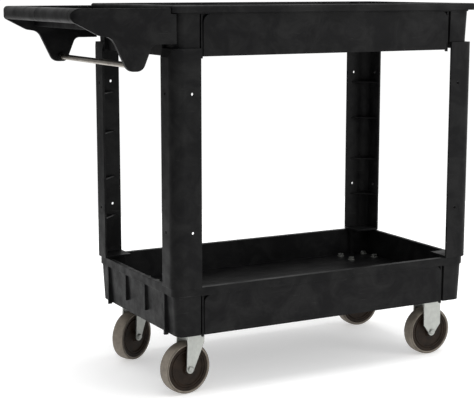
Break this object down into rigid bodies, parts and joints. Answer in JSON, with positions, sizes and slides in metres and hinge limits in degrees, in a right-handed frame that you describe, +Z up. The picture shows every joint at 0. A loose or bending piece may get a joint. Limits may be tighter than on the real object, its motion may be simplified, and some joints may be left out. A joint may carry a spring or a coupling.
{
  "type": "rolling utility cart",
  "caption": "Two-shelf rolling utility cart: moulded black tubs on open corner posts, push handle with cross rod at one end, swivel and rigid casters.",
  "frame": {"origin": "middle of the whole cart's footprint, on the floor", "axes": "+Z up, X along the cart with the push handle at the -X end, -Y the side with the nearer swivel caster turned least"},
  "size_m": [0.978, 0.438, 0.829],
  "materials": {
    "black_plastic": "fine grained black moulded polypropylene",
    "nickel_rod": "satin plated steel rod",
    "zinc_plated_steel": "dull zinc plated pressed steel",
    "zinc_fasteners": "zinc plated",
    "bearing_steel": "polished bearing steel",
    "grey_tread": "matt warm grey thermoplastic rubber",
    "dark_hub": "dark brown moulded polyolefin"
  },
  "bodies": {
    "frame": {"lower_shelf": "black_plastic", "upper_shelf": "black_plastic", "post_handle_front": "black_plastic", "post_handle_back": "black_plastic", "post_far_front": "black_plastic", "post_far_back": "black_plastic", "push_handle": "black_plastic", "handle_rod": "nickel_rod", "handle_screws": "zinc_fasteners", "rigid_fork_far_front": "zinc_plated_steel", "rigid_fork_far_back": "zinc_plated_steel", "swivel_plate_handle_front": "zinc_plated_steel", "kingpin_handle_front": "zinc_fasteners", "swivel_balls_handle_front": "bearing_steel", "swivel_plate_handle_back": "zinc_plated_steel", "kingpin_handle_back": "zinc_fasteners", "swivel_balls_handle_back": "bearing_steel", "axle_sleeve_far_front": "bearing_steel", "axle_bolt_far_front": "zinc_fasteners", "axle_nut_far_front": "zinc_fasteners", "axle_sleeve_far_back": "bearing_steel", "axle_bolt_far_back": "zinc_fasteners", "axle_nut_far_back": "zinc_fasteners", "caster_bolts": "zinc_fasteners", "caster_washers": "zinc_fasteners", "caster_nuts": "zinc_fasteners"},
    "swivel_handle_front": {"swivel_fork_handle_front": "zinc_plated_steel", "axle_sleeve_handle_front": "bearing_steel", "axle_bolt_handle_front": "zinc_fasteners", "axle_nut_handle_front": "zinc_fasteners"},
    "swivel_handle_back": {"swivel_fork_handle_back": "zinc_plated_steel", "axle_sleeve_handle_back": "bearing_steel", "axle_bolt_handle_back": "zinc_fasteners", "axle_nut_handle_back": "zinc_fasteners"},
    "wheel_handle_front": {"wheel_tyre_handle_front": "grey_tread", "wheel_hub_handle_front": "dark_hub"},
    "wheel_handle_back": {"wheel_tyre_handle_back": "grey_tread", "wheel_hub_handle_back": "dark_hub"},
    "wheel_far_front": {"wheel_tyre_far_front": "grey_tread", "wheel_hub_far_front": "dark_hub"},
    "wheel_far_back": {"wheel_tyre_far_back": "grey_tread", "wheel_hub_far_back": "dark_hub"}
  },
  "joints": [
    {"name": "swivel_handle_front", "type": "hinge", "parent": "frame", "child": "swivel_handle_front", "pos_m": [-0.196, -0.15, 0.14], "axis": [0, 0, 1], "continuous": true},
    {"name": "swivel_handle_back", "type": "hinge", "parent": "frame", "child": "swivel_handle_back", "pos_m": [-0.196, 0.15, 0.14], "axis": [0, 0, 1], "continuous": true},
    {"name": "wheel_handle_front", "type": "hinge", "parent": "swivel_handle_front", "child": "wheel_handle_front", "pos_m": [-0.22373, -0.1539, 0.057], "axis": [-0.1392, 0.9903, 0], "continuous": true},
    {"name": "wheel_handle_back", "type": "hinge", "parent": "swivel_handle_back", "child": "wheel_handle_back", "pos_m": [-0.22072, 0.13685, 0.057], "axis": [-0.4695, 0.8829, 0], "continuous": true},
    {"name": "wheel_far_front", "type": "hinge", "parent": "frame", "child": "wheel_far_front", "pos_m": [0.42, -0.15, 0.057], "axis": [0, 1, 0], "continuous": true},
    {"name": "wheel_far_back", "type": "hinge", "parent": "frame", "child": "wheel_far_back", "pos_m": [0.42, 0.15, 0.057], "axis": [0, 1, 0], "continuous": true}
  ]
}
